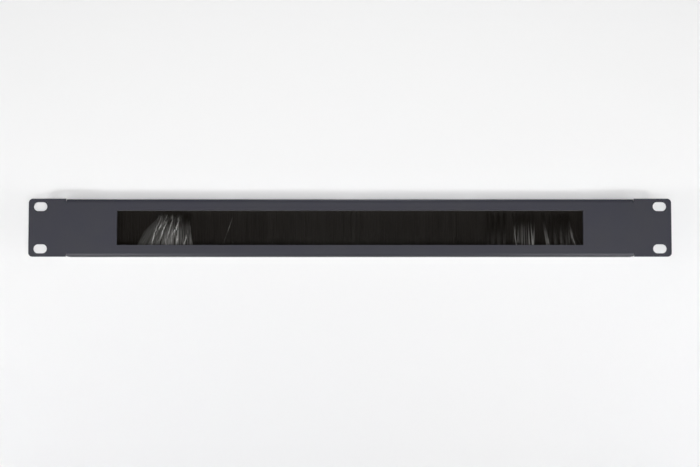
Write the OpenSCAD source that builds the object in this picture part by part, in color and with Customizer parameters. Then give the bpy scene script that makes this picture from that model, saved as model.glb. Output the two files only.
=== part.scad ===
// Rack brush strip panel, one rack unit high.
// Origin: centre of the four mounting slots, on the rear face of the front sheet.
// +X to the right, +Y towards the back, +Z up.

/* [Front sheet] */
// Width over both ears
panel_w = 482.6; // [470:0.1:500]
// Height of the ears
ear_h = 43.6; // [40:0.1:44.4]
// How far each flange's outer face lies inside the ears' edge
flange_step = 0.3; // [0:0.05:1]
// Thickness of the sheet steel
sheet_t = 1.5; // [1:0.1:2]
// Depth of a flange behind the sheet's rear face
flange_d = 13.5; // [12.5:0.1:25]
// Width of each ear, from the panel's end to the flanges' ends
ear_w = 28.3; // [24:0.1:34]
// Inside radius of the two long bends
bend_r = 1; // [0.5:0.1:1.5]
// Width of the relief cut at each end of a bend
relief_w = 0.25; // [0.2:0.05:2]
// How far a relief cut runs past the bend into the flat sheet
relief_past = 0.6; // [0.2:0.1:2]
// Radius of the ears' outer corners
ear_r = 3; // [1:0.5:5]

/* [Mounting slots] */
// Distance from the panel's end to the slot centres
slot_edge = 8.75; // [7:0.05:11]
// Distance between the slot centres up the panel
slot_pitch_z = 31.75; // [29:0.01:33]
// Length of a slot, end to end
slot_len = 10.3; // [8:0.1:12]
// Width of a slot
slot_w = 6.8; // [6:0.1:8]

/* [Cable window] */
// Distance from the flanges' ends to the window
window_side = 38; // [30:0.5:60]
// Height of the window
window_h = 26; // [22:0.5:28]

/* [Brush holder] */
// Distance from the flanges' ends to the holder's ends
holder_inset = 17; // [5:0.5:26]
// Thickness of the holder's top plate
plate_t = 1.4; // [1:0.1:2]
// Depth of the holder's top plate
plate_d = 12.2; // [11.5:0.1:13]
// Gap between the sheet and the holder
holder_gap = 0.8; // [0.4:0.1:1.2]
// Bevel that clears the bend's inside radius
plate_bevel = 0.9; // [0.5:0.1:1.2]
// Wall of the pocket that holds the brush strip
pocket_wall = 1.1; // [0.8:0.1:1.3]
// Thickness of the two lips under the pocket
lip_t = 0.8; // [0.6:0.1:1.2]
// Width of the mouth between the lips
mouth_w = 2.2; // [2:0.1:2.6]
// Running gap between the strip's backing and each pocket wall
slide_gap = 0.2; // [0.1:0.05:0.3]
// Radius of the pocket's lower outside corners
pocket_r = 0.5; // [0.2:0.1:0.6]

/* [Brush strip] */
// Distance from the holder's ends to the brush strip's ends
brush_inset = 2; // [0:0.5:6]
// Outside width of the folded steel backing
backing_w = 3.6; // [3.4:0.1:3.8]
// Outside height of the folded steel backing
backing_h = 4.5; // [4:0.1:5]
// Thickness of the backing's sheet
backing_t = 0.45; // [0.35:0.05:0.5]
// Outside radius of the backing's two folds
backing_r = 0.9; // [0.6:0.1:1.2]
// How far each leg of the backing is crimped inwards
crimp_in = 0.35; // [0.2:0.05:0.4]
// Height of the crimped part of a leg
crimp_h = 1.2; // [0.8:0.1:1.5]
// Diameter of the core wire that the filaments are folded round
core_d = 1.1; // [0.9:0.1:1.3]
// How far the filament tips reach below the window
tip_overlap = 1.8; // [0.5:0.1:3]
// Thickness of the filament curtain at its tips
tip_spread = 4.2; // [3:0.1:4.6]
// Width of one lock of filaments
lock_w = 3; // [2.5:0.1:5]
// Depth of the grooves between the locks
lock_groove = 0.9; // [0.3:0.1:1.2]
// How much the locks differ in length
ragged = 1.1; // [0:0.1:1.5]
// Width of one splayed lock
splay_w = 1.4; // [1:0.1:2]
// Thickness of one splayed lock
splay_t = 0.8; // [0.5:0.1:1]
// Gap that the splayed locks keep behind the sheet's rear face
splay_gap = 1; // [0.6:0.05:1.2]

/* [Blind rivets] */
// Number of rivets along the holder
rivet_count = 5; // [3:1:7]
// Distance from the holder's ends to the outer rivets
rivet_end = 16; // [8:0.5:40]
// Distance from the sheet's rear face to the rivets
rivet_y = 10; // [9.8:0.1:10.2]
// Diameter of a rivet's shank
rivet_d = 3.2; // [3:0.1:3.4]
// Radial gap round a rivet
rivet_gap = 0.05; // [0.02:0.01:0.1]
// Diameter of the countersunk head
head_d = 6; // [5.5:0.1:6.5]
// Angle of the countersunk head
head_angle = 120; // [110:1:130]
// Diameter of the bulb that is formed on the blind side
bulb_d = 4.8; // [4.4:0.1:5]
// Height of the bulb
bulb_h = 2; // [1.6:0.1:2.2]
// Length of the sleeve below the holder's plate
sleeve_len = 3.4; // [3:0.1:3.6]
// Diameter of the rivet's bore
rivet_bore_d = 1.9; // [1.7:0.1:2]
// Diameter of the mandrel left in the rivet
mandrel_d = 1.8; // [1.5:0.05:1.85]
// Diameter of the mandrel's head
mandrel_head_d = 2.8; // [2.5:0.1:3]
// How deep the broken mandrel sits below the head
break_depth = 0.6; // [0.3:0.1:1]

/* [Hidden] */
$fn = 48;
cut = 1;

// The sheet and its bends
body_h = ear_h - 2 * flange_step;
flange_len = panel_w - 2 * ear_w;
slot_pitch_x = panel_w - 2 * slot_edge;
window_w = flange_len - 2 * window_side;
bend_out = bend_r + sheet_t;
web_h = body_h - 2 * bend_out;
flange_z = body_h / 2 - sheet_t;

// The holder, hung under the upper flange
holder_len = flange_len - 2 * holder_inset;
pocket_in_w = backing_w + 2 * slide_gap;
pocket_out_w = pocket_in_w + 2 * pocket_wall;
plate_z = flange_z - plate_t;
backing_top = plate_z - slide_gap;
backing_foot = backing_top - backing_h;
lip_z = backing_foot - lip_t;
brush_y = holder_gap + pocket_out_w / 2;

// The brush strip
brush_len = holder_len - 2 * brush_inset;
inner_w = backing_w - 2 * backing_t;
fold_r = inner_w / 2;
core_z = backing_top - backing_t - fold_r;
foot_w = inner_w - 2 * crimp_in;
tip_z = -window_h / 2 - tip_overlap;
lock_count = round(brush_len / lock_w);
lock_pitch = brush_len / lock_count;
lock_size = rands(0, 1, lock_count + 1, 11);
lock_tip = rands(0, 1, lock_count + 1, 23);

// Splayed locks: where a group starts and ends at the holder, then at the tips, and how many locks it has
SPLAYED = [
    [-146, -124, -160, -118, 12],
    [124, 126, 123, 128, 2],
    [135, 138, 134, 140, 3],
    [146, 147, 147, 151, 2],
    [160, 160, 159, 159, 1],
    [166, 167, 164, 170, 2]
];
SPLAY_STEPS = 6;

// The rivets
rivet_pitch = (holder_len - 2 * rivet_end) / (rivet_count - 1);
head_h = (head_d - rivet_d) / 2 / tan(head_angle / 2);
grip = sheet_t + plate_t;

// A quarter of a ring in the first quadrant, or of a disc
module quarter(r_out, r_in = 0) {
    intersection() {
        difference() {
            circle(r = r_out);
            if (r_in > 0) circle(r = r_in);
        }
        square(r_out);
    }
}

// Runs a profile drawn in Y and Z along X
module along_x(length) {
    rotate([90, 0, 90]) linear_extrude(height = length, center = true) children();
}

// Runs a profile drawn in X and Z through the sheet's thickness
module through_sheet() {
    rotate([90, 0, 0]) linear_extrude(height = sheet_t) children();
}

// Both ends of something that is the same at +X and -X
module both_ends() {
    children();
    mirror([1, 0, 0]) children();
}

// ---- Front sheet ----

// One bend and its flange, seen from the end
module flange_profile() {
    translate([bend_r, web_h / 2]) mirror([1, 0]) quarter(bend_out, bend_r);
    translate([bend_r, flange_z]) square([flange_d - bend_r, sheet_t]);
}

// The channel: front web, two bends and two flanges
module channel_profile() {
    translate([-sheet_t, -web_h / 2]) square([sheet_t, web_h]);
    flange_profile();
    mirror([0, 1]) flange_profile();
}

// One ear with its rounded outer corners, beyond the relief cuts
module ear_outline() {
    ear_in = flange_len / 2 + relief_w;
    ear_out = panel_w / 2;
    translate([ear_in, -ear_h / 2]) square([ear_out - ear_r - ear_in, ear_h]);
    translate([ear_out - ear_r, -ear_h / 2 + ear_r]) square([ear_r, ear_h - 2 * ear_r]);
    translate([ear_out - ear_r, ear_h / 2 - ear_r]) quarter(ear_r);
    translate([ear_out - ear_r, ear_r - ear_h / 2]) mirror([0, 1]) quarter(ear_r);
}

// The strip of flat sheet that runs from ear to ear between the relief cuts
module web_outline() {
    square([flange_len + 2 * ear_w, web_h - 2 * relief_past], center = true);
}

// One mounting slot, its round ends made as true bores
module slot() {
    half = (slot_len - slot_w) / 2;
    through = sheet_t + 2 * cut;
    translate([0, cut, 0]) rotate([90, 0, 0]) {
        for (side = [-1, 1]) translate([side * half, 0, 0]) cylinder(d = slot_w, h = through);
        translate([-half, -slot_w / 2, 0]) cube([2 * half, slot_w, through]);
    }
}

// A countersunk hole for a rivet, from the outer face of the upper flange down
module rivet_hole(depth) {
    r = rivet_d / 2 + rivet_gap;
    translate([0, 0, -depth]) cylinder(r = r, h = depth + cut);
    translate([0, 0, -head_h]) cylinder(r1 = r, r2 = head_d / 2 + rivet_gap, h = head_h);
}

// Places something at rivet number i, with z = 0 on the upper flange's outer face
module at_rivet(i) {
    translate([(i - (rivet_count + 1) / 2) * rivet_pitch, rivet_y, body_h / 2]) children();
}

module panel() {
    color("#45464d") difference() {
        union() {
            along_x(flange_len) channel_profile();
            both_ends() through_sheet() ear_outline();
            through_sheet() web_outline();
        }
        translate([-window_w / 2, -sheet_t - cut, -window_h / 2])
            cube([window_w, sheet_t + 2 * cut, window_h]);
        for (x = [-1, 1], z = [-1, 1])
            translate([x * slot_pitch_x / 2, 0, z * slot_pitch_z / 2]) slot();
        for (i = [1 : rivet_count]) at_rivet(i) rivet_hole(sheet_t + cut);
    }
}

// ---- Brush holder ----

// One wall of the pocket with its lip, to the right of the pocket's middle
module pocket_side() {
    wall_in = pocket_in_w / 2;
    wall_out = pocket_out_w / 2;
    translate([wall_in, lip_z + pocket_r]) square([pocket_wall, plate_z - lip_z - pocket_r]);
    translate([mouth_w / 2, lip_z]) square([wall_out - pocket_r - mouth_w / 2, lip_t]);
    translate([wall_out - pocket_r, lip_z + pocket_r]) mirror([0, 1]) quarter(pocket_r);
}

module holder_profile() {
    rear = holder_gap + plate_d;
    polygon([
        [holder_gap, plate_z], [rear, plate_z], [rear, flange_z],
        [holder_gap + plate_bevel, flange_z], [holder_gap, flange_z - plate_bevel]
    ]);
    translate([brush_y, 0]) {
        pocket_side();
        mirror([1, 0]) pocket_side();
    }
}

module brush_holder() {
    color("#b9bcc0") difference() {
        along_x(holder_len) holder_profile();
        for (i = [1 : rivet_count]) at_rivet(i) translate([0, 0, -grip - cut])
            cylinder(r = rivet_d / 2 + rivet_gap, h = grip + 2 * cut);
    }
}

// ---- Brush strip ----

// One half of the folded backing: half the back, one fold, one leg and its crimped foot
module backing_side() {
    outer = backing_w / 2;
    knee = backing_foot + crimp_h;
    fold_z = backing_top - backing_r;
    translate([0, backing_top - backing_t]) square([outer - backing_r, backing_t]);
    translate([outer - backing_r, fold_z]) quarter(backing_r, backing_r - backing_t);
    translate([outer - backing_t, knee]) square([backing_t, fold_z - knee]);
    polygon([
        [outer, knee], [outer - backing_t, knee],
        [outer - backing_t - crimp_in, backing_foot], [outer - crimp_in, backing_foot]
    ]);
}

module backing_channel() {
    color("#a8abae") along_x(brush_len) translate([brush_y, 0]) {
        backing_side();
        mirror([1, 0]) backing_side();
    }
}

module core_wire() {
    color("#9a9da1") translate([0, brush_y, core_z]) rotate([0, 90, 0])
        cylinder(d = core_d, h = brush_len, center = true);
}

// The filaments inside the backing, folded over the core wire
module root_profile() {
    knee = backing_foot + crimp_h;
    difference() {
        translate([brush_y, 0]) union() {
            intersection() {
                translate([0, core_z]) circle(r = fold_r);
                translate([-fold_r, core_z]) square([2 * fold_r, fold_r]);
            }
            polygon([
                [-fold_r, core_z], [-fold_r, knee], [-foot_w / 2, backing_foot],
                [foot_w / 2, backing_foot], [fold_r, knee], [fold_r, core_z]
            ]);
        }
        translate([brush_y, core_z]) circle(d = core_d);
    }
}

// The curtain seen from the end: it leaves the mouth as a flat band and spreads towards its tips
module flare_profile() {
    polygon([
        [brush_y - foot_w / 2, backing_foot], [brush_y + foot_w / 2, backing_foot],
        [brush_y + foot_w / 2, lip_z], [brush_y + tip_spread / 2, tip_z],
        [brush_y + tip_spread / 2, tip_z - ragged], [brush_y - tip_spread / 2, tip_z - ragged],
        [brush_y - tip_spread / 2, tip_z], [brush_y - foot_w / 2, lip_z]
    ]);
}

// One long side of the curtain seen from above: a rounded back for each lock, a groove between two
function lock_side(side) = [
    for (i = [0 : lock_count - 1], p = [0, 0.3, 0.7])
    let (dip = p == 0 ? lock_groove * (0.5 + lock_size[i] / 2) : lock_groove * lock_size[i] / 3)
    [(i + p) * lock_pitch - brush_len / 2, brush_y + side * (tip_spread / 2 - dip)]
];

function reversed(points) = [for (i = [len(points) - 1 : -1 : 0]) points[i]];

module lock_plan() {
    end = [[brush_len / 2, brush_y - tip_spread / 2], [brush_len / 2, brush_y + tip_spread / 2]];
    polygon(concat(lock_side(-1), end, reversed(lock_side(1))));
}

// The curtain seen from the front: each lock ends at its own height, with a nick beside it
module tip_outline() {
    tips = [
        for (i = [0 : lock_count - 1], p = [0, 0.2, 0.8])
        let (drop = ragged * lock_tip[i])
        [(i + p) * lock_pitch - brush_len / 2, tip_z - (p == 0 ? drop / 2 - ragged / 2 : drop)]
    ];
    polygon(concat(
        [[-brush_len / 2, backing_foot]], tips,
        [[brush_len / 2, tip_z], [brush_len / 2, backing_foot]]
    ));
}

module curtain() {
    intersection() {
        along_x(brush_len + 2 * cut) flare_profile();
        translate([0, 0, tip_z - 2 * ragged]) linear_extrude(height = backing_foot - tip_z + 2 * ragged)
            lock_plan();
        translate([0, brush_y + tip_spread, 0]) rotate([90, 0, 0])
            linear_extrude(height = 2 * tip_spread) tip_outline();
    }
}

// A lock that bows forwards out of the curtain, seen from the end: t runs from its root to its tip
function bow(t) = brush_y - foot_w / 2 - (brush_y - foot_w / 2 - splay_gap) * sin(150 * t);
function bow_z(t) = lip_z - t * (lip_z - tip_z);

module splayed_profile() {
    polygon(concat(
        [for (s = [0 : SPLAY_STEPS]) let (t = s / SPLAY_STEPS) [bow(t), bow_z(t)]],
        [for (s = [SPLAY_STEPS : -1 : 0]) let (t = s / SPLAY_STEPS) [bow(t) + splay_t, bow_z(t)]]
    ));
}

// One group of splayed locks, closer together at the holder than at their tips
module splayed_group(group) {
    count = group[4];
    for (i = [0 : count - 1]) {
        share = count > 1 ? i / (count - 1) : 0;
        root_x = group[0] + share * (group[1] - group[0]);
        tip_x = group[2] + share * (group[3] - group[2]);
        lean = atan((tip_x - root_x) / (lip_z - tip_z));
        translate([root_x, 0, lip_z]) rotate([0, -lean, 0]) translate([0, 0, -lip_z])
            along_x(splay_w) splayed_profile();
    }
}

module bristles() {
    color("#201f1e") union() {
        along_x(brush_len) root_profile();
        curtain();
        for (group = SPLAYED) splayed_group(group);
    }
}

// ---- Blind rivets ----

// A set rivet: countersunk head, shank, bulb against the plate, and the end of the sleeve
module rivet(i) {
    r = rivet_d / 2;
    bulb_r = bulb_h / 2;
    color("#c4c7ca") at_rivet(i) difference() {
        union() {
            translate([0, 0, -grip - sleeve_len]) cylinder(r = r, h = grip + sleeve_len);
            translate([0, 0, -head_h]) cylinder(r1 = r, r2 = head_d / 2, h = head_h);
            rotate_extrude() translate([bulb_d / 2 - bulb_r, -grip - bulb_r]) circle(r = bulb_r);
        }
        translate([0, 0, -grip - sleeve_len - cut])
            cylinder(d = rivet_bore_d, h = grip + sleeve_len + 2 * cut);
    }
}

// The stem left in the rivet, with the head that drew the bulb
module rivet_mandrel(i) {
    stem_len = grip + sleeve_len - break_depth;
    color("#8c8f93") at_rivet(i) translate([0, 0, -grip - sleeve_len]) {
        cylinder(d = mandrel_d, h = stem_len);
        intersection() {
            sphere(d = mandrel_head_d);
            translate([0, 0, -mandrel_head_d / 2])
                cylinder(d = mandrel_head_d + cut, h = mandrel_head_d / 2);
        }
    }
}

panel();
brush_holder();
backing_channel();
core_wire();
bristles();
for (i = [1 : rivet_count]) {
    rivet(i);
    rivet_mandrel(i);
}
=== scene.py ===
# Looks of the rack brush strip panel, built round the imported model. Everything is in metres.
import math
import random

import bmesh
import bpy
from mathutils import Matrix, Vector
from mathutils.bvhtree import BVHTree


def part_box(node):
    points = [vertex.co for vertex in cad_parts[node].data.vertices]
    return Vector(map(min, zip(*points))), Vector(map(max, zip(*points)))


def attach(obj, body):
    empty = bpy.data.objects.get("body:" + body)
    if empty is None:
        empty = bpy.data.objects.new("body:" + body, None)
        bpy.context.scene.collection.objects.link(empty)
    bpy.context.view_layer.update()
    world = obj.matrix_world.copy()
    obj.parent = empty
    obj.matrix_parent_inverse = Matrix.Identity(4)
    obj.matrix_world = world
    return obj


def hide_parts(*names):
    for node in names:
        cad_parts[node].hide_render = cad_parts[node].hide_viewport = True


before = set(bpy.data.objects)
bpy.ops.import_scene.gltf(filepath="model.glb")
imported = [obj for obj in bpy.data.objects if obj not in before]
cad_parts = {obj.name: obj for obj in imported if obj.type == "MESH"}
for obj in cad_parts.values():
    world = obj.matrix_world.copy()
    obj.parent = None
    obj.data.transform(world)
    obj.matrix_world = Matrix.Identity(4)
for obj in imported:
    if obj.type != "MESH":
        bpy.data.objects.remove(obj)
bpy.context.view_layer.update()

# ---- Camera ----
# The panel fills the width of the view. It is seen square on from a metre in front and from a
# little below, so that its flanges hide behind the sheet.
MM = 0.001
view_distance = 999.5 * MM
view_rise = math.radians(3.2)
view_drop = 4.4 * MM
view_aim = Vector((0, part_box("panel")[0].y, -view_drop))

camera_data = bpy.data.cameras.new("camera")
camera_data.lens = 68.5
camera_data.sensor_width = 36
camera = bpy.data.objects.new("camera", camera_data)
camera.location = view_aim - view_distance * Vector((0, math.cos(view_rise), math.sin(view_rise)))
camera.rotation_euler = (math.pi / 2 + view_rise, 0, 0)
bpy.context.collection.objects.link(camera)
bpy.context.scene.camera = camera
bpy.context.scene.view_settings.view_transform = "Standard"


# ---- White backdrop ----
# A matt white sheet stands right behind the flanges and sweeps forwards into the floor far
# below. Away from the panel it glows evenly. Its back is clear and it casts no shadow, so the
# panel can be seen from behind too.
def linear(code):
    """A colour written as sRGB hex, as the linear colour that a shader takes."""
    parts = [int(code[i : i + 2], 16) / 255 for i in (1, 3, 5)]
    return (*(p / 12.92 if p <= 0.04045 else ((p + 0.055) / 1.055) ** 2.4 for p in parts), 1)


def add_node(tree, kind, inputs=None, **settings):
    """One node with its own settings. An input is a plain value, or the socket that feeds it."""
    made = tree.nodes.new(kind)
    for name, value in settings.items():
        setattr(made, name, value)
    for socket, value in (inputs or {}).items():
        if isinstance(value, bpy.types.NodeSocket):
            tree.links.new(value, made.inputs[socket])
        else:
            made.inputs[socket].default_value = value
    return made


def empty_material(name):
    """A material with nothing in it yet, and its node tree."""
    made = bpy.data.materials.new(name)
    made.use_nodes = True
    made.node_tree.nodes.clear()
    return made, made.node_tree


def linked_object(name, data):
    """An object with this mesh, curve or lamp in it, put in the scene."""
    made = bpy.data.objects.new(name, data)
    bpy.context.collection.objects.link(made)
    return made


def pulled_out(shape, edges, move):
    """Extrudes edges by a step, and gives the edges at the new end."""
    made = bmesh.ops.extrude_edge_only(shape, edges=edges)["geom"]
    ends = [g for g in made if isinstance(g, bmesh.types.BMVert)]
    bmesh.ops.translate(shape, verts=ends, vec=move)
    return [g for g in made if isinstance(g, bmesh.types.BMEdge) and set(g.verts) <= set(ends)]


backdrop_gap = 0.1 * MM
backdrop_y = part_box("panel")[1].y + backdrop_gap
backdrop_half = 3
backdrop_top = 2.2
sweep_foot = -0.9
sweep_radius = 0.25
sweep_steps = 24
floor_depth = 4

shape = bmesh.new()
rim = [shape.verts.new((side * backdrop_half, backdrop_y, backdrop_top)) for side in (-1, 1)]
edge = [shape.edges.new(rim)]
edge = pulled_out(shape, edge, (0, 0, sweep_foot + sweep_radius - backdrop_top))
spun = bmesh.ops.spin(
    shape,
    geom=edge + [v for e in edge for v in e.verts],
    cent=(0, backdrop_y - sweep_radius, sweep_foot + sweep_radius),
    axis=(1, 0, 0),
    angle=-math.pi / 2,
    steps=sweep_steps,
)["geom_last"]
edge = [g for g in spun if isinstance(g, bmesh.types.BMEdge)]
pulled_out(shape, edge, (0, -floor_depth, 0))
bmesh.ops.recalc_face_normals(shape, faces=shape.faces)
if sum(f.normal.y for f in shape.faces) > 0:
    bmesh.ops.reverse_faces(shape, faces=shape.faces)
mesh = bpy.data.meshes.new("backdrop")
shape.to_mesh(mesh)
shape.free()
mesh.shade_smooth()
backdrop = linked_object("backdrop", mesh)
backdrop.visible_shadow = False
backdrop.visible_diffuse = False
backdrop.visible_glossy = False

# The paper is painted a little greyer lower down, a painted shade that evens out the stronger
# light of the lamps, which stand nearer there. It starts to glow at one distance from the panel's
# middle, and glows fully at the other
grey_reach = 0.2
glow_from = 0.32
glow_full = 0.55

material, tree = empty_material("matt_white_paper")
place = add_node(tree, "ShaderNodeTexCoord").outputs["Object"]
height = add_node(tree, "ShaderNodeSeparateXYZ", {0: place})
grey = add_node(
    tree,
    "ShaderNodeMapRange",
    {"Value": height.outputs["Z"], "From Min": -grey_reach, "From Max": grey_reach},
)
shade = add_node(
    tree,
    "ShaderNodeMix",
    {"Factor": grey.outputs[0], "A": linear("#e9e9ea"), "B": linear("#fbfbfb")},
    data_type="RGBA",
)
matt = add_node(tree, "ShaderNodeBsdfDiffuse", {"Color": shade.outputs[2]})
glow = add_node(tree, "ShaderNodeEmission", {"Color": linear("#f8f8f8")})
away = add_node(tree, "ShaderNodeVectorMath", {0: place}, operation="LENGTH")
lit = add_node(
    tree,
    "ShaderNodeMapRange",
    {"Value": away.outputs["Value"], "From Min": glow_from, "From Max": glow_full},
    interpolation_type="SMOOTHSTEP",
)
paper = add_node(
    tree,
    "ShaderNodeMixShader",
    {0: lit.outputs[0], 1: matt.outputs[0], 2: glow.outputs[0]},
)
clear = add_node(tree, "ShaderNodeBsdfTransparent")
behind = add_node(tree, "ShaderNodeNewGeometry")
one_sided = add_node(
    tree,
    "ShaderNodeMixShader",
    {0: behind.outputs["Backfacing"], 1: paper.outputs[0], 2: clear.outputs[0]},
)
add_node(tree, "ShaderNodeOutputMaterial", {"Surface": one_sided.outputs[0]})
mesh.materials.append(material)


# ---- Studio light ----
# Two small soft boxes stand low beside the panel's ends and throw its shadow up the backdrop. A
# ring light at the lens lights it squarely, a small lamp overhead draws its upper bend, and wide
# lamps serve its underside and its back.
def add_soft_box(name, place, aim=(0, 0, 0), *, size, power):
    """A square area lamp that the camera doesn't see. Its power is in watts."""
    data = bpy.data.lights.new(name, "AREA")
    data.shape = "SQUARE"
    data.size = size
    data.energy = power
    box = linked_object(name, data)
    box.location = place
    box.rotation_euler = (Vector(aim) - Vector(place)).to_track_quat("-Z", "Y").to_euler()
    box.visible_camera = False
    return box


end_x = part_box("panel")[1].x
side_reach = 0.42
side_drop = 0.232
for side, name, side_power in ((-1, "left", 1.65), (1, "right", 1.7)):
    add_soft_box(
        f"soft_box_{name}",
        (side * (end_x + side_reach), -side_reach, -side_drop),
        (side * end_x, 0, 0),
        size=0.115,
        power=side_power,
    )
add_soft_box("ring_light", camera.location, view_aim, size=0.12, power=6.05)
add_soft_box("soft_box_low", (0, -1.8, -0.5), size=0.8, power=6.4)
# Two small cards under the panel show only as a gloss on its lower bend
for side, name in ((-1, "left"), (1, "right")):
    card_place = (side * 0.25, -0.14, -0.24)
    card = add_soft_box(
        f"gloss_card_{name}", card_place, (side * 0.2, 0, 0), size=0.08, power=2.6
    )
    card.visible_diffuse = False
# The large lamp behind gives the light, and a small card in its place the gloss on the metals
rear_place = (0.6, 2.0, 1.2)
rear = add_soft_box("soft_box_rear", rear_place, size=2.4, power=62)
rear.visible_glossy = False
add_soft_box("gloss_card_rear", rear_place, size=0.5, power=4.5)
add_soft_box("rim_light", (0.03, 0.09, 0.25), (0.03, 0, 0), size=0.1, power=0.66)

world = bpy.data.worlds.new("pale_room")
bpy.context.scene.world = world
world.use_nodes = True
tree = world.node_tree
tree.nodes.clear()
room_white = linear("#ffffff")
fill = add_node(tree, "ShaderNodeBackground", {"Color": room_white, "Strength": 0.04})
# What is seen in a gloss is white at eye level and below, and a little greyer overhead
direction = add_node(tree, "ShaderNodeTexCoord")
upward = add_node(tree, "ShaderNodeSeparateXYZ", {0: direction.outputs["Generated"]})
paleness = add_node(
    tree,
    "ShaderNodeMapRange",
    {
        "Value": upward.outputs["Z"],
        "From Min": 0.2,
        "From Max": 0.6,
        "To Min": 0.95,
        "To Max": 0.8,
    },
)
pale = add_node(
    tree, "ShaderNodeBackground", {"Color": room_white, "Strength": paleness.outputs[0]}
)
ray = add_node(tree, "ShaderNodeLightPath")
seen = add_node(
    tree,
    "ShaderNodeMath",
    {0: ray.outputs["Is Camera Ray"], 1: ray.outputs["Is Glossy Ray"]},
    operation="MAXIMUM",
)
seen = add_node(
    tree,
    "ShaderNodeMath",
    {0: seen.outputs[0], 1: ray.outputs["Is Transmission Ray"]},
    operation="MAXIMUM",
)
room = add_node(
    tree, "ShaderNodeMixShader", {0: seen.outputs[0], 1: fill.outputs[0], 2: pale.outputs[0]}
)
add_node(tree, "ShaderNodeOutputWorld", {"Surface": room.outputs[0]})


# ---- Front sheet ----
# One piece of 1.5 mm steel sheet, punched, notched beside its bends and folded into a shallow
# channel, then powder coated. The coat is thicker on edges, so each cut edge is a little round.
weld_reach = 0.002 * MM
flat_angle = math.radians(0.3)
edge_angle = math.radians(30)


def dressed_copy(node, name, edge_break=0):
    """A CAD node's skin with its triangles joined and its sharp edges broken, in its place."""
    shape = bmesh.new()
    shape.from_mesh(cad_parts[node].data)
    bmesh.ops.remove_doubles(shape, verts=shape.verts, dist=weld_reach)
    bmesh.ops.dissolve_limit(
        shape, angle_limit=flat_angle, verts=shape.verts, edges=shape.edges
    )
    mesh = bpy.data.meshes.new(name)
    shape.to_mesh(mesh)
    shape.free()
    mesh.shade_smooth()
    mesh.set_sharp_from_angle(angle=edge_angle)
    made = linked_object(name, mesh)
    if edge_break:
        bevel = made.modifiers.new("edge_break", "BEVEL")
        bevel.width = edge_break
        bevel.segments = 2
        bevel.limit_method = "ANGLE"
        bevel.angle_limit = edge_angle
    flat = made.modifiers.new("flat_faces", "WEIGHTED_NORMAL")
    flat.keep_sharp = True
    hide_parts(node)
    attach(made, "root")
    return made


coat_edge = 0.22 * MM
# The fine grain is too small to show at arm's length, so the softer unevenness under it is 2 mm
grain_size = 0.35 * MM
uneven_size = 2.2 * MM
cloud_size = 26 * MM

panel = dressed_copy("panel", "panel_sheet", coat_edge)

# Polyester powder coat, fine texture, semi-matt black: a dense bluish black with a soft sheen
material, tree = empty_material("black_powder_coat")
place = add_node(tree, "ShaderNodeTexCoord").outputs["Object"]
cloud = add_node(
    tree,
    "ShaderNodeTexNoise",
    {"Vector": place, "Scale": 1 / cloud_size, "Detail": 3.0, "Roughness": 0.5},
)
colour = add_node(
    tree,
    "ShaderNodeMix",
    {"Factor": cloud.outputs["Fac"], "A": linear("#2e2e39"), "B": linear("#343439")},
    data_type="RGBA",
)
uneven = add_node(
    tree,
    "ShaderNodeTexNoise",
    {"Vector": place, "Scale": 1 / uneven_size, "Detail": 2.0, "Roughness": 0.5},
)
grain = add_node(
    tree,
    "ShaderNodeTexNoise",
    {"Vector": place, "Scale": 1 / grain_size, "Detail": 1.0, "Roughness": 0.4},
)
gloss = add_node(
    tree,
    "ShaderNodeMapRange",
    {"Value": uneven.outputs["Fac"], "To Min": 0.54, "To Max": 0.64},
)
soft_bump = add_node(
    tree,
    "ShaderNodeBump",
    {"Strength": 0.5, "Distance": 0.03 * MM, "Height": uneven.outputs["Fac"]},
)
grain_bump = add_node(
    tree,
    "ShaderNodeBump",
    {
        "Strength": 0.5,
        "Distance": 0.02 * MM,
        "Height": grain.outputs["Fac"],
        "Normal": soft_bump.outputs[0],
    },
)
coat = add_node(
    tree,
    "ShaderNodeBsdfPrincipled",
    {
        "Base Color": colour.outputs[2],
        "Roughness": gloss.outputs[0],
        "IOR": 1.5,
        "Specular IOR Level": 0.13,
        "Normal": grain_bump.outputs[0],
    },
)
add_node(tree, "ShaderNodeOutputMaterial", {"Surface": coat.outputs[0]})
panel.data.materials.append(material)

# ---- Brush holder ----
# An extruded aluminium profile, sawn to length: a plate that is riveted under the upper flange,
# and a pocket that the brush strip slides into. Mill finish, with fine lines from the die.
def finish_bare_metal(tree, tone, colours, shine, roughness, dents=None):
    """Ends a metal's material. One pattern shifts its colour, one its gloss, dents its normal."""
    colour = add_node(
        tree,
        "ShaderNodeMix",
        {"Factor": tone, "A": linear(colours[0]), "B": linear(colours[1])},
        data_type="RGBA",
    )
    gloss = add_node(
        tree,
        "ShaderNodeMapRange",
        {"Value": shine, "To Min": roughness[0], "To Max": roughness[1]},
    )
    metal = add_node(
        tree,
        "ShaderNodeBsdfPrincipled",
        {"Base Color": colour.outputs[2], "Metallic": 1.0, "Roughness": gloss.outputs[0]},
    )
    if dents:
        tree.links.new(dents, metal.inputs["Normal"])
    add_node(tree, "ShaderNodeOutputMaterial", {"Surface": metal.outputs[0]})


sawn_edge = 0.08 * MM
die_line = 0.25 * MM
die_line_length = 180 * MM
stain_size = 30 * MM

holder = dressed_copy(
    "brush_holder", "brush_holder_profile", sawn_edge
)

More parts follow.
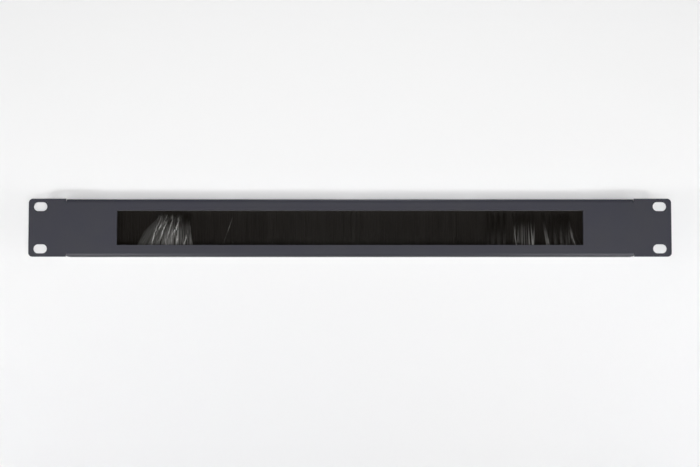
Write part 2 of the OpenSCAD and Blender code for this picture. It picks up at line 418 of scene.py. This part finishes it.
# Extruded aluminium, mill finish: pale grey, a little cloudy, duller across its die lines
material, tree = empty_material("mill_finish_aluminium")
place = add_node(tree, "ShaderNodeTexCoord").outputs["Object"]
drawn = add_node(
    tree,
    "ShaderNodeMapping",
    {"Vector": place, "Scale": (1 / die_line_length, 1 / die_line, 1 / die_line)},
)
lines = add_node(
    tree,
    "ShaderNodeTexNoise",
    {"Vector": drawn.outputs[0], "Scale": 1.0, "Detail": 3.0, "Roughness": 0.6},
)
stain = add_node(
    tree,
    "ShaderNodeTexNoise",
    {"Vector": place, "Scale": 1 / stain_size, "Detail": 4.0, "Roughness": 0.6},
)
scored = add_node(
    tree,
    "ShaderNodeBump",
    {"Strength": 0.6, "Distance": 0.02 * MM, "Height": lines.outputs["Fac"]},
)
finish_bare_metal(
    tree,
    stain.outputs["Fac"],
    ("#b4b7bc", "#ccced2"),
    lines.outputs["Fac"],
    (0.26, 0.46),
    scored.outputs[0],
)
holder.data.materials.append(material)

# ---- Brush strip's backing and core wire ----
# Galvanised strip steel, folded over the filaments and crimped, with a drawn steel wire inside
# that the filaments are bent round. Both show only at the holder's two open ends.
backing = dressed_copy("backing_channel", "brush_backing")
spangle_size = 1.8 * MM

# Hot-dip galvanised steel: zinc crystals of a few greys, some glossier than their neighbours
material, tree = empty_material("galvanised_strip_steel")
place = add_node(tree, "ShaderNodeTexCoord").outputs["Object"]
spangle = add_node(
    tree,
    "ShaderNodeTexVoronoi",
    {"Vector": place, "Scale": 1 / spangle_size, "Randomness": 0.9},
)
crystal = add_node(tree, "ShaderNodeSeparateColor", {0: spangle.outputs["Color"]})
finish_bare_metal(
    tree, crystal.outputs[0], ("#a2a6aa", "#bec1c4"), crystal.outputs[1], (0.3, 0.45)
)
backing.data.materials.append(material)

wire = dressed_copy("core_wire", "brush_core_wire")
draw_mark = 0.12 * MM
draw_mark_length = 40 * MM

# Drawn steel wire, bright: a darker grey with fine marks along it from the drawing die
material, tree = empty_material("drawn_steel_wire")
place = add_node(tree, "ShaderNodeTexCoord").outputs["Object"]
drawn = add_node(
    tree,
    "ShaderNodeMapping",
    {"Vector": place, "Scale": (1 / draw_mark_length, 1 / draw_mark, 1 / draw_mark)},
)
marks = add_node(
    tree, "ShaderNodeTexNoise", {"Vector": drawn.outputs[0], "Scale": 1.0, "Detail": 2.0}
)
finish_bare_metal(
    tree, marks.outputs["Fac"], ("#84878b", "#a5a8ab"), marks.outputs["Fac"], (0.22, 0.4)
)
wire.data.materials.append(material)
wire_steel = material

# ---- Filament curtain ----
# Black nylon filaments, each bent round the core wire so that both of its legs hang down, packed
# tight in the backing and fanning out towards ragged tips. They gather into narrow locks.
filament_d = 0.24 * MM
filaments_per_part = 2550
curtain_parts = ("left", "middle", "right")
lock_width = 3 * MM
curtain_depth = 4.2 * MM
root_depth = 2 * MM
edge_room = 0.35 * MM
usual_lean = 0.18 * MM
most_lean = 0.2 * MM
tip_scatter = 0.13 * MM
tip_thickness = 0.75
# How far up its length a leg bends. The front legs are seen, so they bend in one more place
front_bends = (0.3, 0.65)
back_bends = (0.5,)
lean_curve = 1.6
# How much nearer to the middle of the curtain the innermost filament hangs, and starts
inner_tuck = 0.8
inner_root_tuck = 0.7
# The filaments are painted a little paler in the curtain's middle than at its ends, which is
# painted shade at the ends, and each one is painted palest at its tip, painted light that makes
# up for the shade of the sheet's lower edge
curtain_white = 0.0049
end_shade_reach = 172 * MM
shaded_end_pale = 0.1
painted_tip_light = 2.2
painted_leg_light = 1.6

strip_low, strip_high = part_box("backing_channel")
wire_low, wire_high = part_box("core_wire")
brush_low, brush_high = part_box("bristles")
wire_y, wire_z = (wire_low.y + wire_high.y) / 2, (wire_low.z + wire_high.z) / 2
wire_r = (wire_high.z - wire_low.z) / 2
fold_room = brush_high.z - wire_z
foot_drop = 0.4 * MM
foot_z = strip_low.z - foot_drop
tip_rise = 1.15 * MM
tips_z = brush_low.z + tip_rise
chance = random.Random(41)

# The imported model's curtain, to hang the filaments along its locks, grooves and ragged tips
shape = bmesh.new()
shape.from_mesh(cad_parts["bristles"].data)
curtain_solid = BVHTree.FromBMesh(shape)
shape.free()


def strand_mesh(name, strands, diameter):
    """One mesh of many filaments. A strand is a list of points: x, y, z, thickness, whiteness."""
    curve = bpy.data.curves.new(name, "CURVE")
    curve.dimensions = "3D"
    curve.bevel_depth = diameter / 2
    curve.bevel_resolution = 0
    for points in strands:
        spline = curve.splines.new("POLY")
        spline.points.add(len(points) - 1)
        spline.points.foreach_set("co", [c for p in points for c in (*p[:3], 1)])
        spline.points.foreach_set("radius", [p[3] for p in points])
    former = linked_object(name + "_former", curve)
    mesh = bpy.data.meshes.new_from_object(
        former.evaluated_get(bpy.context.evaluated_depsgraph_get())
    )
    bpy.data.objects.remove(former)
    bpy.data.curves.remove(curve)
    mesh.name = name
    whiteness = [p[4] for points in strands for p in points]
    around = len(mesh.vertices) // len(whiteness)
    layer = mesh.attributes.new("whiteness", "FLOAT", "POINT")
    layer.data.foreach_set("value", [w for w in whiteness for _ in range(around)])
    shape = bmesh.new()
    shape.from_mesh(mesh)
    bmesh.ops.holes_fill(shape, edges=[e for e in shape.edges if e.is_boundary], sides=around)
    shape.to_mesh(mesh)
    shape.free()
    mesh.shade_smooth()
    return mesh


class Lock:
    """Some sixty filaments that lean the same way and share a shade, palest mid-panel: painted
    shade at the ends.
    """

    def __init__(self, x):
        self.lean = max(-most_lean, min(most_lean, chance.gauss(0, usual_lean)))
        self.pale = chance.uniform(0.86, 1.14) * max(shaded_end_pale, 1 - abs(x) / end_shade_reach)


def skin_y(x, z, side):
    """How far from the core wire the curtain's front (-1) or back (1) is at x and z."""
    reach = 2 * curtain_depth
    hit = curtain_solid.ray_cast((x, wire_y + side * reach, z), (0, -side, 0), reach)[0]
    share = (foot_z - z) / (foot_z - tips_z)
    widest = (root_depth + share * (curtain_depth - root_depth)) / 2
    return min(abs(hit.y - wire_y), widest) if hit else widest


def tip_height(x):
    """Where the curtain's lower edge is at x."""
    hit = curtain_solid.ray_cast((x, wire_y, brush_low.z - MM), (0, 0, 1), curtain_depth)[0]
    return hit.z if hit else tips_z


def folded_filament(x, lock):
    """A filament from one tip up round the core wire and down to its other tip."""
    inside = chance.random() ** 2
    ring = fold_room - filament_d / 2 - inside * (fold_room - wire_r - filament_d)
    # Its whiteness is painted: darker towards the curtain's ends as painted shade, lighter down
    # its legs to the tips as painted light
    pale = curtain_white * lock.pale * chance.uniform(0.85, 1.15)
    points = []
    for side in (-1, 1):
        end = max(tip_height(x) + chance.uniform(-0.3, 0.5) * MM, brush_low.z)
        # The back legs lean the other way, so that no slit goes through both
        tip_x = x - side * lock.lean + chance.gauss(0, tip_scatter)
        rows = [(tip_x, end, tip_thickness, painted_tip_light * pale)]
        for part in front_bends if side < 0 else back_bends:
            bent_x = x + (tip_x - x) * (1 - part) ** lean_curve
            rows.append((bent_x, end + part * (foot_z - end), 1, (painted_leg_light - part) * pale))
        leg = []
        for row_x, z, thickness, white in rows:
            out = (1 - inner_tuck * inside) * (skin_y(row_x, z, side) - filament_d / 2)
            leg.append((row_x, wire_y + side * out, z, thickness, white))
        out = (1 - inner_root_tuck * inside) * root_depth / 2
        leg.append((x, wire_y + side * out, foot_z, 1, pale))
        leg.append((x, wire_y + side * ring, wire_z, 1, 0))
        points += leg if side < 0 else [(x, wire_y, wire_z + ring, 1, 0)] + leg[::-1]
    return points


strip_length = strip_high.x - strip_low.x
lock_count = round(strip_length / lock_width)
lock_pitch = strip_length / lock_count
locks = [Lock(strip_low.x + (i + 0.5) * lock_pitch) for i in range(lock_count)]

# Extruded nylon: a slightly brown black. Its whiteness is painted light and shade: highlights on
# the splayed filaments, lighter curtain tips, and darker curtain ends as painted shade
material, tree = empty_material("black_nylon_filament")
painted_white = add_node(tree, "ShaderNodeAttribute", attribute_name="whiteness")
colour = add_node(
    tree,
    "ShaderNodeMix",
    {"Factor": painted_white.outputs["Fac"], "A": linear("#120f0c"), "B": linear("#fbfaf6")},
    data_type="RGBA",
)
nylon = add_node(
    tree,
    "ShaderNodeBsdfPrincipled",
    {
        "Base Color": colour.outputs[2],
        "Roughness": 0.5,
        "IOR": 1.53,
        "Specular IOR Level": 0.045,
    },
)
add_node(tree, "ShaderNodeOutputMaterial", {"Surface": nylon.outputs[0]})
black_nylon = material


def hang_bristles(name, strands, diameter):
    """A piece of the brush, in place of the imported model's curtain."""
    made = linked_object(name, strand_mesh(name, strands, diameter))
    made.data.materials.append(black_nylon)
    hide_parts("bristles")
    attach(made, "root")


part_length = (strip_length - 2 * edge_room) / len(curtain_parts)
for number, part in enumerate(curtain_parts):
    start = strip_low.x + edge_room + number * part_length
    strands = []
    for i in range(filaments_per_part):
        x = start + (i + chance.random()) * part_length / filaments_per_part
        strands.append(folded_filament(x, locks[int((x - strip_low.x) / lock_pitch)]))
    hang_bristles(f"bristles_{part}", strands, filament_d)

# ---- Splayed filaments ----
# Near the window's ends some locks have been pushed out of line. They bow forwards out of the
# curtain and catch the light, which is painted onto them as whitish streaks, a painted highlight.
# Places and widths are in millimetres.
# Each streak: its top's x, z and whiteness, its foot's x, z and whiteness, filaments, width
streaks = [
    # the large tuft on the left
    (-141.4, 4.2, 0.2, -143.4, 0.4, 0.85, 7, 0.7),
    (-145.8, -1.6, 0.7, -147.6, -6.2, 0.7, 8, 0.8),
    (-147.4, -6.0, 0.65, -149.5, -12.8, 0.5, 7, 0.8),
    (-137.4, 7.0, 0.2, -139.6, 0.6, 0.7, 6, 0.8),
    (-139.6, 0.8, 0.75, -141.2, -3.6, 0.5, 7, 0.9),
    (-141.0, -3.4, 0.45, -142.8, -8.2, 0.2, 6, 0.8),
    (-133.6, 6.0, 0.15, -135.4, -0.4, 0.4, 6, 0.8),
    (-135.4, -0.4, 0.45, -136.4, -3.4, 0.6, 7, 0.9),
    (-136.4, -3.4, 0.5, -138.0, -8.0, 0.25, 6, 0.8),
    (-128.6, 6.0, 0.15, -130.8, -0.6, 0.8, 7, 0.7),
    (-130.8, -0.4, 0.75, -134.0, -5.0, 0.3, 7, 0.8),
    (-129.4, -1.4, 0.35, -130.0, -8.4, 0.6, 7, 0.9),
    (-130.0, -8.4, 0.65, -130.8, -12.6, 0.25, 7, 0.7),
    (-125.4, -3.2, 0.25, -125.6, -8.0, 0.25, 5, 0.7),
    (-122.2, -3.4, 0.2, -124.0, -9.4, 0.5, 6, 0.6),
    (-124.0, -9.4, 0.5, -125.2, -12.4, 0.25, 6, 0.6),
    (-120.2, -4.0, 0.12, -119.8, -11.8, 0.2, 5, 0.6),
    (-141.8, 8.4, 0.16, -143.8, 3.4, 0.3, 7, 1.2),
    (-138.4, 8.8, 0.22, -140.2, 3.8, 0.25, 7, 0.9),
    (-134.0, 8.4, 0.16, -134.4, 3.0, 0.2, 7, 1.2),
    (-129.2, 7.4, 0.22, -130.4, 2.4, 0.3, 6, 0.8),
    (-134.2, -3.0, 0.35, -134.6, -10.0, 0.3, 6, 0.9),
    (-139.0, -9.4, 0.25, -138.8, -12.6, 0.3, 6, 1.0),
    (-135.8, -9.0, 0.28, -136.2, -12.6, 0.3, 6, 1.0),
    # the smaller ones on the right
    (124.6, -0.6, 0.03, 124.0, -4.2, 0.12, 7, 0.8),
    (124.0, -4.0, 0.12, 125.2, -12.4, 0.24, 8, 0.9),
    (126.6, -2.6, 0.06, 126.4, -9.6, 0.14, 6, 0.7),
    (134.3, 0.0, 0.05, 135.0, -12.0, 0.2, 7, 0.8),
    (136.5, 0.0, 0.05, 137.6, -12.0, 0.29, 8, 0.9),
    (138.7, 0.0, 0.04, 138.2, -12.0, 0.27, 7, 0.8),
    (146.6, 0.2, 0.02, 149.4, -12.4, 0.13, 22, 2.4),
    (159.0, -4.6, 0.04, 159.0, -12.4, 0.07, 8, 1.4),
    (164.6, -1.0, 0.02, 165.0, -10.0, 0.08, 7, 0.8),
    (165.7, 1.0, 0.03, 167.0, -6.8, 0.12, 8, 0.8),
    (167.0, -6.6, 0.12, 169.0, -12.4, 0.13, 12, 1.6),
    (162.7, -8.6, 0.04, 162.8, -12.6, 0.08, 6, 0.8),
    # one loose filament by itself
    (-89.0, 6.6, 0.1, -91.4, -0.6, 0.24, 1, 0.0),
]
# Each haze, in clumps: from and to x along its top, then along its foot, how far its first side
# bulges, its top's z, whiteness, filaments
hazes = [
    (-145.5, -137.0, -159.5, -148.0, -2.4, 6.5, 0.05, 170),
    (-144.0, -127.0, -150.0, -127.0, -1.0, 9.0, 0.07, 200),
    (-139.0, -128.0, -141.0, -127.0, 0, -1.0, 0.11, 130),
    (-126.5, -120.5, -127.5, -118.5, 0, 1.0, 0.07, 90),
    (127.8, 133.4, 127.6, 134.0, 0, -1.0, 0.062, 60),
    (150.0, 170.0, 150.0, 172.0, 0, -7.0, 0.025, 80),
    (103.0, 118.0, 103.0, 118.0, 0, -8.0, 0.025, 60),
]
haze_foot = -12.6
haze_top_share = 0.6
clump_filaments = 18
clump_pull = 0.4
splayed_d = 0.2 * MM
bow_front = brush_low.y + splayed_d
bow_turn = math.radians(150)
least_drop = 2 * MM
root_lean = 0.55
root_rise = 0.6 * MM
thin_tip = 0.6
splayed_base_white = 0.0008
# Below its painted highlight a filament turns black again over this length, though not quite
fade_length = 2.2 * MM
fade_white = 0.3
tip_white = 0.15


def bow_y(z):
    """How far forward a splayed filament stands at a height: most just below the middle."""
    down = (foot_z - z) / (foot_z - tips_z)
    root_y = wire_y - root_depth / 2
    return root_y - (root_y - bow_front) * math.sin(bow_turn * down)


def splayed_filament(top, low, top_white, low_white, bulge=0):
    """A filament that leaves the holder above its painted highlight and ends below it."""
    (top_x, top_z), (low_x, low_z) = top, low
    lean = (low_x - top_x) / min(low_z - top_z, -least_drop)
    root_x = top_x + root_lean * lean * (foot_z - top_z)
    end_z = tips_z - chance.uniform(0.0, 0.9) * MM
    back = chance.uniform(0, 0.5) * MM
    fade_z = low_z - min(fade_length, (low_z - end_z) / 2)
    rows = [
        (root_x, foot_z + root_rise, 1, 0),
        ((root_x + 2 * top_x) / 3, (foot_z + 2 * top_z) / 3 + root_rise / 2, 1, 0),
        (top_x, top_z, 1, top_white),
        ((top_x + low_x) / 2 + bulge, (top_z + low_z) / 2, 1, (top_white + low_white) / 2),
        (low_x, low_z, 1, low_white),
        (low_x + lean * (fade_z - low_z), fade_z, 1, fade_white * low_white),
        (low_x + lean * (end_z - low_z), end_z, thin_tip, tip_white * low_white),
    ]
    return [
        (x, bow_y(z) + back, z, thickness, white + splayed_base_white)
        for x, z, thickness, white in rows
    ]


strands = []
for top_x, top_z, top_white, low_x, low_z, low_white, count, width in streaks:
    for _ in range(count):
        aside = chance.uniform(-0.5, 0.5) * width
        share = chance.uniform(0.7, 1.2)
        top = ((top_x + aside) * MM, (top_z + chance.uniform(-0.6, 0.6)) * MM)
        low = (
            (low_x + aside + chance.gauss(0, 0.2 * width)) * MM,
            (low_z + chance.uniform(-0.4, 0.4)) * MM,
        )
        strands.append(splayed_filament(top, low, share * top_white, share * low_white))
for top_from, top_to, low_from, low_to, bulge, top_z, whiteness, count in hazes:
    clumps = count / clump_filaments
    for _ in range(count):
        across = chance.random() + chance.gauss(0, 0.05)
        across += clump_pull * (round(across * clumps) / clumps - across)
        white = whiteness * chance.uniform(0.4, 1.6)
        top = (
            (top_from + across * (top_to - top_from)) * MM,
            (top_z + chance.uniform(-3.0, 1.0)) * MM,
        )
        low = (
            (low_from + across * (low_to - low_from)) * MM,
            (haze_foot + chance.uniform(0, 0.8)) * MM,
        )
        aside = (1 - across) * bulge * MM
        strands.append(splayed_filament(top, low, haze_top_share * white, white, aside))
hang_bristles("bristles_splayed", strands, splayed_d)

# ---- Blind rivets ----
# Five aluminium blind rivets hold the profile under the upper flange. Their countersunk heads
# lie flush, and each keeps the broken stem of the steel mandrel that set it.
rivet_edge = 0.05 * MM
dent_size = 0.4 * MM

# Rivet alloy, pressed and pulled: plain satin aluminium with shallow dents
material, tree = empty_material("rivet_aluminium")
place = add_node(tree, "ShaderNodeTexCoord").outputs["Object"]
pressed = add_node(
    tree,
    "ShaderNodeTexNoise",
    {"Vector": place, "Scale": 1 / dent_size, "Detail": 3.0, "Roughness": 0.55},
)
dented = add_node(
    tree,
    "ShaderNodeBump",
    {"Strength": 0.4, "Distance": 0.02 * MM, "Height": pressed.outputs["Fac"]},
)
finish_bare_metal(
    tree,
    pressed.outputs["Fac"],
    ("#a3a6aa", "#b7b9bc"),
    pressed.outputs["Fac"],
    (0.36, 0.5),
    dented.outputs[0],
)

for node in sorted(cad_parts):
    if node.startswith("rivet_mandrel_"):
        name = node.replace("rivet_mandrel", "mandrel_stem")
        stem = dressed_copy(node, name)
        stem.data.materials.append(wire_steel)
    elif node.startswith("rivet_"):
        name = node.replace("rivet", "blind_rivet")
        body = dressed_copy(node, name, rivet_edge)
        body.data.materials.append(material)
